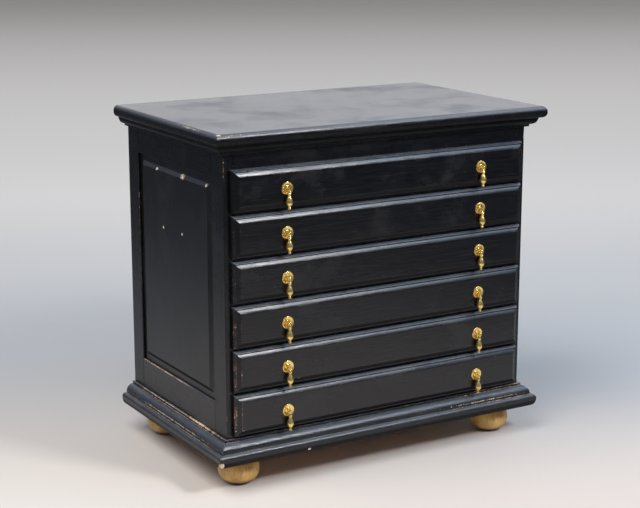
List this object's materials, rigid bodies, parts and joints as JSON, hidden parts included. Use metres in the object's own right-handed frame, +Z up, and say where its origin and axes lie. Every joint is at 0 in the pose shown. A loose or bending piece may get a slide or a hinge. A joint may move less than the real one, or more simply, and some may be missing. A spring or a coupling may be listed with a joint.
{
  "type": "chest of drawers",
  "caption": "Low black-painted chest of shallow lipped drawers with brass drop pulls, framed side panels, moulded top and plinth, and turned bun feet.",
  "frame": {"origin": "on the floor under the middle of the whole piece, halfway between the front edge of the top and the flush back", "axes": "+X along the front, to the right of someone facing it; +Y from the front to the back; +Z up"},
  "size_m": [0.7422, 0.456, 0.6865],
  "materials": {
    "black_paint": "satin-gloss black paint, rubbed through to brown and cream at the edges",
    "bare_wood": "bare pine, aged",
    "turned_foot": "golden-brown turned wood, thin varnish",
    "brass": "polished pale brass"
  },
  "bodies": {
    "cabinet": {"top_board": "black_paint", "cornice_front": "black_paint", "cornice_left": "black_paint", "cornice_right": "black_paint", "plinth_front": "black_paint", "plinth_left": "black_paint", "plinth_right": "black_paint", "base_board": "bare_wood", "side_left_stiles": "black_paint", "side_left_rails": "black_paint", "side_left_panel": "black_paint", "side_right_stiles": "black_paint", "side_right_rails": "black_paint", "side_right_panel": "black_paint", "frieze_rail": "black_paint", "bottom_rail": "black_paint", "drawer_rails": "black_paint", "runners": "bare_wood", "back_boards": "bare_wood", "foot_front_left": "turned_foot", "foot_front_right": "turned_foot", "foot_rear_left": "turned_foot", "foot_rear_right": "turned_foot"},
    "drawer_1": {"drawer_1_front": "black_paint", "drawer_1_box": "bare_wood", "drawer_1_bottom": "bare_wood", "drawer_1_pull_plates": "brass"},
    "drop_1_left": {"drawer_1_drop_left": "brass"},
    "drop_1_right": {"drawer_1_drop_right": "brass"},
    "drawer_2": {"drawer_2_front": "black_paint", "drawer_2_box": "bare_wood", "drawer_2_bottom": "bare_wood", "drawer_2_pull_plates": "brass"},
    "drop_2_left": {"drawer_2_drop_left": "brass"},
    "drop_2_right": {"drawer_2_drop_right": "brass"},
    "drawer_3": {"drawer_3_front": "black_paint", "drawer_3_box": "bare_wood", "drawer_3_bottom": "bare_wood", "drawer_3_pull_plates": "brass"},
    "drop_3_left": {"drawer_3_drop_left": "brass"},
    "drop_3_right": {"drawer_3_drop_right": "brass"},
    "drawer_4": {"drawer_4_front": "black_paint", "drawer_4_box": "bare_wood", "drawer_4_bottom": "bare_wood", "drawer_4_pull_plates": "brass"},
    "drop_4_left": {"drawer_4_drop_left": "brass"},
    "drop_4_right": {"drawer_4_drop_right": "brass"},
    "drawer_5": {"drawer_5_front": "black_paint", "drawer_5_box": "bare_wood", "drawer_5_bottom": "bare_wood", "drawer_5_pull_plates": "brass"},
    "drop_5_left": {"drawer_5_drop_left": "brass"},
    "drop_5_right": {"drawer_5_drop_right": "brass"},
    "drawer_6": {"drawer_6_front": "black_paint", "drawer_6_box": "bare_wood", "drawer_6_bottom": "bare_wood", "drawer_6_pull_plates": "brass"},
    "drop_6_left": {"drawer_6_drop_left": "brass"},
    "drop_6_right": {"drawer_6_drop_right": "brass"}
  },
  "joints": [
    {"name": "drawer_1_slide", "type": "slide", "parent": "cabinet", "child": "drawer_1", "axis": [0, -1, 0], "range_m": [0, 0.3]},
    {"name": "drop_1_left_swing", "type": "hinge", "parent": "drawer_1", "child": "drop_1_left", "pos_m": [-0.21765, -0.2173, 0.5742], "axis": [-1, 0, 0], "range_deg": [0, 95]},
    {"name": "drop_1_right_swing", "type": "hinge", "parent": "drawer_1", "child": "drop_1_right", "pos_m": [0.22265, -0.2173, 0.5742], "axis": [-1, 0, 0], "range_deg": [0, 95]},
    {"name": "drawer_2_slide", "type": "slide", "parent": "cabinet", "child": "drawer_2", "axis": [0, -1, 0], "range_m": [0, 0.3]},
    {"name": "drop_2_left_swing", "type": "hinge", "parent": "drawer_2", "child": "drop_2_left", "pos_m": [-0.21765, -0.2173, 0.4905], "axis": [-1, 0, 0], "range_deg": [0, 95]},
    {"name": "drop_2_right_swing", "type": "hinge", "parent": "drawer_2", "child": "drop_2_right", "pos_m": [0.22265, -0.2173, 0.4905], "axis": [-1, 0, 0], "range_deg": [0, 95]},
    {"name": "drawer_3_slide", "type": "slide", "parent": "cabinet", "child": "drawer_3", "axis": [0, -1, 0], "range_m": [0, 0.3]},
    {"name": "drop_3_left_swing", "type": "hinge", "parent": "drawer_3", "child": "drop_3_left", "pos_m": [-0.21765, -0.2173, 0.4048], "axis": [-1, 0, 0], "range_deg": [0, 95]},
    {"name": "drop_3_right_swing", "type": "hinge", "parent": "drawer_3", "child": "drop_3_right", "pos_m": [0.22265, -0.2173, 0.4048], "axis": [-1, 0, 0], "range_deg": [0, 95]},
    {"name": "drawer_4_slide", "type": "slide", "parent": "cabinet", "child": "drawer_4", "axis": [0, -1, 0], "range_m": [0, 0.3]},
    {"name": "drop_4_left_swing", "type": "hinge", "parent": "drawer_4", "child": "drop_4_left", "pos_m": [-0.21765, -0.2173, 0.3179], "axis": [-1, 0, 0], "range_deg": [0, 95]},
    {"name": "drop_4_right_swing", "type": "hinge", "parent": "drawer_4", "child": "drop_4_right", "pos_m": [0.22265, -0.2173, 0.3179], "axis": [-1, 0, 0], "range_deg": [0, 95]},
    {"name": "drawer_5_slide", "type": "slide", "parent": "cabinet", "child": "drawer_5", "axis": [0, -1, 0], "range_m": [0, 0.3]},
    {"name": "drop_5_left_swing", "type": "hinge", "parent": "drawer_5", "child": "drop_5_left", "pos_m": [-0.21765, -0.2173, 0.2314], "axis": [-1, 0, 0], "range_deg": [0, 95]},
    {"name": "drop_5_right_swing", "type": "hinge", "parent": "drawer_5", "child": "drop_5_right", "pos_m": [0.22265, -0.2173, 0.2314], "axis": [-1, 0, 0], "range_deg": [0, 95]},
    {"name": "drawer_6_slide", "type": "slide", "parent": "cabinet", "child": "drawer_6", "axis": [0, -1, 0], "range_m": [0, 0.3]},
    {"name": "drop_6_left_swing", "type": "hinge", "parent": "drawer_6", "child": "drop_6_left", "pos_m": [-0.21765, -0.2173, 0.145], "axis": [-1, 0, 0], "range_deg": [0, 95]},
    {"name": "drop_6_right_swing", "type": "hinge", "parent": "drawer_6", "child": "drop_6_right", "pos_m": [0.22265, -0.2173, 0.145], "axis": [-1, 0, 0], "range_deg": [0, 95]}
  ]
}
